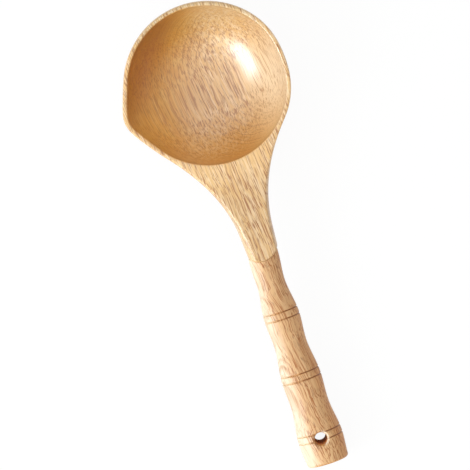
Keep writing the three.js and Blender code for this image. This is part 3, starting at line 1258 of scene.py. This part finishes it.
    def dress(self, piece: bpy.types.Object, pose: LadlePose) -> None:
        """Finishes the bowl in clear gloss lacquer and lets it stand for its node.

        Args:
            piece: The carved bowl.
            pose: Where the ladle lies.
        """
        wood = BowlWood(
            name="bowl_wood",
            body=from_screen(222, 180, 121),
            pale=from_screen(237, 211, 174),
            deep=from_screen(170, 118, 76),
            pore=from_screen(136, 86, 50),
            # Painted shade: the heartwood tint and the deeper tint darken the hollow's left wall, where the
            # key light does not reach; the pale sapwood on the right wall is painted light round the
            # highlight
            heart_and_shade=(0.91, 0.71, 0.28, 1.0),
            heart_and_shade_way=(-0.35, -0.94),
            heart_and_shade_span=(-2.0, 27.0),
            flush=(0.63, 0.41, 0.12, 1.0),
            painted_shade_way=(-0.6, -0.8),
            painted_shade_span=(26.0, 47.0),
            painted_light_span=(-20.0, -50.0),
            bands=(((0.84, 0.82, 0.8, 1.0), (55.0, 85.0)), ((0.88, 0.94, 1.0, 1.0), (-26.0, -48.0))),
            layering=0.32,
            streaks=1.0,
            pores=0.55,
            coat=1.0,
            coat_roughness=0.22,
        )
        piece.data.materials.append(wood.make(pose))
        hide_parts("bowl")
        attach(piece, "root")


@dataclass
class Handle:
    """The turned handle: three nodes with two cut rings each, a coped head and a hanging hole.

    Lengths are in millimetres. The spans at the end say where a mark begins and is full.
    """

    tongue_centre: float
    tongue_radius: float
    tongue_tip: float
    axis_drop: float = 11.6
    head_setback: float = 9.9
    head_radius: float = 11.3
    head_lap: float = 2.0
    node_radii: tuple[float, ...] = (12.45, 13.8, 15.65)
    waist_radii: tuple[float, ...] = (9.8, 11.3, 13.1)
    node_spacings: tuple[float, ...] = (43.3, 44.0, 42.6)
    waist_share: float = 0.42
    ring_lead: float = 2.4
    butt_length: float = 17.5
    butt_radius: float = 14.6
    butt_round: float = 1.8
    groove_spacing: float = 5.0
    groove_width: float = 1.3
    groove_depth: float = 0.6
    hole_lead: float = 1.4
    hole_radius: float = 4.25
    hole_round: float = 2.0
    bore_radius: float = 5.3
    bore_depth: float = 31.0
    seat_gap: float = 0.03
    seat_round: float = 0.1
    fairing: float = 1.5
    fairing_length: float = 16.0
    cell: float = 0.7
    cell_along: float = 0.3
    # Painted light on the rings: their tone on the lit left side, and the span across the handle over which
    # they turn full
    lit_side_ring_tone: float = 0.45
    worn_and_lit_span: Span = (-12.0, 2.0)
    wall_share: float = 0.6
    wall_span: Span = (0.02, 0.2)
    round_span: Span = (1.0, 5.0)
    # Painted highlight on the hole's rounded edge: how far it lies off the wall, and the spans to the right
    # and upward where it shows
    glint_in: Span = (0.1, 0.4)
    glint_out: Span = (0.9, 1.8)
    glint_right: Span = (0.5, 3.5)
    glint_up: Span = (-8.0, -2.0)

    def __post_init__(self) -> None:
        """Works out the places that follow from the sizes."""
        self.head_x = self.tongue_centre + self.head_setback
        self.node_places = self.head_x + np.cumsum(self.node_spacings)
        self.hole_x = self.node_places[-1] + self.hole_lead
        self.butt_x = self.node_places[-1] + self.ring_lead + self.butt_length

    def swell(self, x: Array) -> Array:
        """Radius of the turned surface without its rings.

        Args:
            x: Places along the ladle.

        Returns:
            The radii.
        """
        places = [self.head_x]
        radii = [self.head_radius]
        for node, place in enumerate(self.node_places):
            crest = place + self.ring_lead
            places += [crest - (1 - self.waist_share) * self.node_spacings[node], crest]
            radii += [self.waist_radii[node], self.node_radii[node]]
        places.append(self.butt_x)
        radii.append(self.butt_radius)
        total = np.full_like(x, radii[0])
        for step in range(1, len(places)):
            share = smooth_share(x, (places[step - 1], places[step]))
            total += (radii[step] - radii[step - 1]) * share
        return total

    def ring(self, points: Array) -> Array:
        """How deep a place lies in a cut ring, from 0 outside to 1 at its middle.

        Args:
            points: Places in the ladle's frame.

        Returns:
            The depths, as shares.
        """
        deep = np.zeros(len(points))
        for place in self.node_places:
            for side in (-0.5, 0.5):
                off = np.abs(points[:, 0] - place - side * self.groove_spacing) * 2 / self.groove_width
                deep = np.maximum(deep, 0.5 + 0.5 * np.cos(math.pi * np.minimum(off, 1)))
        return deep

    def ring_tone(self, points: Array) -> Array:
        """How dark a ring is: less on the left, as painted light on the lit side."""
        right = smooth_share(points[:, 1], self.worn_and_lit_span)
        return self.ring(points) * (self.lit_side_ring_tone + (1 - self.lit_side_ring_tone) * right)

    def off_hole(self, points: Array) -> Array:
        """Distance from the wall of the hanging hole."""
        return np.hypot(points[:, 0] - self.hole_x, points[:, 1]) - self.hole_radius

    def hole_wall(self, points: Array) -> Array:
        """1 on the drilled wall of the hanging hole, less at its rounded edge, easing to 0 round it.

        Args:
            points: Places in the ladle's frame.

        Returns:
            The hole's mark.
        """
        off = self.off_hole(points)
        wall = self.wall_share * (1 - smooth_share(off, self.wall_span))
        return wall + (1 - self.wall_share) * (1 - smooth_share(off, self.round_span))

    def hole_glint(self, points: Array) -> Array:
        """1 on the right of the hole's rounded edge, where a highlight is painted on.

        Args:
            points: Places in the ladle's frame.

        Returns:
            The edge's mark.
        """
        off = self.off_hole(points)
        band = smooth_share(off, self.glint_in) * (1 - smooth_share(off, self.glint_out))
        return band * smooth_share(points[:, 1], self.glint_right) * smooth_share(points[:, 2], self.glint_up)

    def turned(self, points: Array) -> Array:
        """Field of the turned surface with its rings.

        Args:
            points: Places in the ladle's frame.

        Returns:
            The distances, negative inside it.
        """
        away = np.hypot(points[:, 1], points[:, 2] + self.axis_drop)
        leftward = np.maximum(-points[:, 1] / np.maximum(away, LEAST_DIVISOR), 0.0)
        faired = (self.head_x - self.head_lap, self.head_x + self.fairing_length)
        trimmed = self.fairing * leftward**2 * (1 - smooth_share(points[:, 0], faired))
        return away - self.swell(points[:, 0]) + trimmed + self.groove_depth * self.ring(points)

    def solid(self, points: Array) -> Array:
        """Distance to the handle, with its ends, hole and bore cut.

        Args:
            points: Places in the ladle's frame.

        Returns:
            The distances, negative in the wood.
        """
        x, y, z = points.T
        wood = shared_by(self.turned(points), x - self.butt_x, self.butt_round)
        wood = np.maximum(wood, self.head_x - self.head_lap - x)
        cope = self.tongue_radius + self.seat_gap - np.hypot(x - self.tongue_centre, y)
        wood = shared_by(wood, cope, self.seat_round)
        wood = shared_by(wood, -self.off_hole(points), self.hole_round)
        bore = np.hypot(y, z + self.axis_drop) - self.bore_radius
        return np.maximum(wood, -np.maximum(bore, x - self.tongue_tip - self.bore_depth))

    def build(self, pose: LadlePose) -> bpy.types.Object:
        """Turns the handle in one piece.

        Args:
            pose: Where the ladle lies.

        Returns:
            The piece.
        """
        edge = 2 * self.cell
        side = max(self.node_radii) + edge
        net = SurfaceNet(
            carving=self.solid,
            low=(self.head_x - self.head_lap - edge, -side, -self.axis_drop - side),
            high=(self.butt_x + edge, side, side - self.axis_drop),
            cell=(self.cell_along, self.cell, self.cell),
        )
        # The edge mark is a painted highlight on the hole's rounded edge; the ring mark holds painted light
        # on the left
        marks = {"ring": self.ring_tone, "hole": self.hole_wall, "edge": self.hole_glint}
        return lay_down("turned_handle", net, pose, marks)

    def dress(self, piece: bpy.types.Object, pose: LadlePose) -> None:
        """Finishes the handle in satin lacquer and lets it stand for its node.

        Args:
            piece: The turned handle.
            pose: Where the ladle lies.
        """
        wood = HandleWood(
            name="handle_wood",
            body=from_screen(235, 216, 187),
            pale=from_screen(247, 234, 211),
            deep=from_screen(186, 138, 92),
            pore=from_screen(120, 70, 34),
            # Painted light and shade: the pale strip left of the heartwood lights the left flank, and the
            # heartwood tint with its deeper tint darkens the right side
            heart_and_shade=(0.805, 0.595, 0.385, 1.0),
            heart_and_shade_way=(0.016, 1.0),
            heart_and_shade_span=(-7.4, -2.2),
            ragged=12.0,
            flush=(0.9, 0.7, 0.45, 1.0),
            painted_shade_span=(5.5, 14.0),
            bands=(((0.9, 0.86, 0.84, 1.0), (112.0, 134.0)),),
            waver=7.0,
            turn=(-3.0, 8.0),
            pith=(60.0, -90.0),
            layer=2.0,
            lines=Figure((0.026, 1.25, 0.95), 2.0, 0.55),
            streaks=1.0,
            streak_shares=(0.38, 1.0),
            pores=0.5,
            roughness=0.5,
            coat=0.15,
            coat_roughness=0.3,
        )
        piece.data.materials.append(wood.make(pose))
        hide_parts("handle")
        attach(piece, "root")


@dataclass
class Dowel:
    """The fluted dowel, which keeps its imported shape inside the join."""

    node: bpy.types.Object

    def dress(self, pose: LadlePose) -> None:
        """Gives the dowel bare, pale wood with its grain along its length.

        Args:
            pose: Where the ladle lies.
        """
        wood = LacqueredWood(
            name="dowel_wood",
            body=from_screen(226, 198, 156),
            pale=from_screen(236, 212, 175),
            deep=from_screen(203, 165, 116),
            pore=from_screen(166, 122, 78),
            heart_and_shade=(0.95, 0.9, 0.8, 1.0),
            heart_and_shade_way=(0.0, 1.0),
            heart_and_shade_span=(-6.0, 6.0),
            turn=(0.0, 0.0),
            pith=(20.0, -60.0),
            roughness=0.7,
            coat=0.0,
        )
        material = wood.make(pose)
        for place in self.node.material_slots:
            place.material = material


@dataclass(frozen=True)
class SoftBox:
    """A soft light.

    Attributes:
        name: The lamp's name.
        bearing: Where the light comes from, as seen from above, in degrees from the image's right.
        zenith: Angle from straight up, in degrees.
        away: Distance from the ladle, in metres.
        breadth: Its level side, in metres.
        length: Its other side, in metres.
        power: Power in watts.
        tint: Colour of the light.
        gleam_only: Whether it shows only as a gleam in the lacquer.
    """

    name: str
    bearing: float
    zenith: float
    away: float
    breadth: float
    length: float
    power: float
    tint: Triple
    gleam_only: bool = False


@dataclass(frozen=True)
class Studio:
    """A pale table, soft light from the image's left, and a camera straight above.

    Attributes:
        eye: Where the camera stands, in metres.
        image_turn: Turn of the image's right from +X, in degrees.
        lens: Focal length for the sensor's width.
        sensor: Width of the sensor, in millimetres.
        sight: How far the camera sees, in metres.
        ambient: Strength of the light from all round.
        overhead: Strength of the light from straight above.
        dome_span: Heights in the room between which it gets from one to the other.
        backdrop_span: Heights from which and to which the white backdrop along the horizon fades.
        table_reach: Half of the table's side, in metres.
        table_drop: How far the table lies under the ladle, in metres.
        table_tone: Colour of the table.
        table_white: Share of the table that shows plain white to the camera.
        aim: Where the lamps point, in metres.
        lamps: The soft lights.
    """

    eye: Triple = (0.10006, -0.01334, 3.0)
    image_turn: float = 72.175
    lens: float = 333.8
    sensor: float = 36.0
    sight: float = 50.0
    ambient: float = 0.36
    overhead: float = 1.2
    dome_span: Span = (0.3, 0.9)
    backdrop_span: Span = (0.08, 0.2)
    table_reach: float = 8.0
    table_drop: float = 0.0002
    table_tone: Colour = (0.88, 0.88, 0.87, 1.0)
    table_white: float = 0.93
    aim: Triple = (0.1, 0.0, 0.03)
    lamps: tuple[SoftBox, ...] = (
        SoftBox("key", 214.7, 58.0, 1.2, 0.64, 0.46, 9.8, (0.8, 0.91, 1.0)),
        SoftBox("gleam", 214.7, 58.0, 1.2, 0.92, 0.66, 8.5, (0.85, 0.93, 1.0), True),
        SoftBox("glow", 250.0, 57.0, 1.4, 0.6, 0.5, 2.4, (1.0, 0.98, 0.72)),
        SoftBox("side", 195.0, 76.0, 1.3, 0.6, 0.6, 1.8, (0.88, 0.95, 1.0)),
    )

    def image_axes(self) -> tuple[Vector, Vector]:
        """The image's right and up, in the row frame."""
        turn = self.image_turn * DEGREE
        return Vector((math.cos(turn), math.sin(turn), 0)), Vector((-math.sin(turn), math.cos(turn), 0))

    def make_camera(self) -> None:
        """Stands the camera over the ladle."""
        camera = bpy.data.cameras.new("camera")
        camera.lens = self.lens
        camera.sensor_width = self.sensor
        camera.clip_end = self.sight
        stand = bpy.data.objects.new("camera", camera)
        right, up = self.image_axes()
        axes = Matrix((right, up, Vector((0, 0, 1)))).transposed()
        stand.matrix_world = Matrix.Translation(self.eye) @ axes.to_4x4()
        bpy.context.scene.collection.objects.link(stand)
        bpy.context.scene.camera = stand

    def make_lamps(self) -> None:
        """Hangs the soft boxes round the ladle."""
        right, up = self.image_axes()
        for box in self.lamps:
            lamp = bpy.data.lights.new(box.name, "AREA")
            lamp.shape = "RECTANGLE"
            lamp.size = box.breadth
            lamp.size_y = box.length
            lamp.energy = box.power
            lamp.color = box.tint
            stand = bpy.data.objects.new(box.name, lamp)
            stand.visible_diffuse = not box.gleam_only
            bearing = box.bearing * DEGREE
            level = right * math.cos(bearing) + up * math.sin(bearing)
            zenith = box.zenith * DEGREE
            towards = level * math.sin(zenith) + Vector((0, 0, math.cos(zenith)))
            stand.location = Vector(self.aim) + towards * box.away
            stand.rotation_mode = "QUATERNION"
            stand.rotation_quaternion = towards.to_track_quat("Z", "Y")
            bpy.context.scene.collection.objects.link(stand)

    @staticmethod
    def seen_rays(graph: Graph) -> Term:
        """1 for rays that show the background: from the camera, in gloss or through clear matter.

        Args:
            graph: The graph that asks.

        Returns:
            The mark of those rays.
        """
        seen = graph.node("ShaderNodeLightPath", out="Is Camera Ray")
        for ray in ("Is Glossy Ray", "Is Transmission Ray"):
            seen = graph.larger(seen, graph.node("ShaderNodeLightPath", out=ray))
        return seen

    def make_world(self) -> None:
        """Lights the room most from above, with a white band along the horizon as the backdrop."""
        world = bpy.data.worlds.new("room")
        world.use_nodes = True
        graph = Graph(world.node_tree)
        height = graph.part(graph.node("ShaderNodeTexCoord", out="Generated"), "Z")
        dome = self.ambient + (self.overhead - self.ambient) * graph.ease(height, self.dome_span)
        band = 1.0 - graph.ease(abs(height), self.backdrop_span)
        strength = dome + band * (1.0 - dome)
        light = graph.node("ShaderNodeBackground", None, {"Color": WHITE, "Strength": strength})
        graph.node("ShaderNodeOutputWorld", None, {"Surface": light})
        bpy.context.scene.world = world

    def make_table(self) -> None:
        """Lays the pale table, which keeps the ladle's shadow."""
        mesh = bpy.data.meshes.new("table")
        turns = ((-1, -1), (1, -1), (1, 1), (-1, 1))
        corners = [(x * self.table_reach, y * self.table_reach, -self.table_drop) for x, y in turns]
        mesh.from_pydata(corners, [], [(0, 1, 2, 3)])
        table = bpy.data.objects.new("table", mesh)
        bpy.context.scene.collection.objects.link(table)
        material = bpy.data.materials.new("pale_table")
        material.use_nodes = True
        graph = Graph(material.node_tree)
        matt = graph.node("ShaderNodeBsdfDiffuse", None, {"Color": self.table_tone})
        plain = graph.node("ShaderNodeEmission", None, {"Color": WHITE, "Strength": 1.0})
        share = self.table_white * self.seen_rays(graph)
        mixed = graph.node("ShaderNodeMixShader", None, {0: share, 1: matt, 2: plain})
        graph.node("ShaderNodeOutputMaterial", None, {"Surface": mixed})
        mesh.materials.append(material)

    def build(self) -> None:
        """Sets up the whole studio."""
        self.make_camera()
        self.make_lamps()
        self.make_world()
        self.make_table()
        bpy.context.scene.view_settings.view_transform = "Standard"


def main() -> None:
    """Builds the studio, the bowl, the handle and the dowel, in that order."""
    logging.basicConfig(level=logging.INFO)
    Studio().build()
    bowl = Bowl()
    pose = LadlePose.along_dowel(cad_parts["handle_dowel"], bowl.tongue_tip, bowl.handle_drop)
    LOG.info("pitch %.4f degrees, mouth %s", pose.pitch / DEGREE, pose.mouth)
    bowl.dress(bowl.build(pose), pose)
    handle = Handle(bowl.tongue_centre, bowl.tongue_radius, bowl.tongue_tip)
    handle.dress(handle.build(pose), pose)
    Dowel(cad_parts["handle_dowel"]).dress(pose)
    LOG.info("handle_dowel is dressed")


if __name__ == "__main__":
    main()
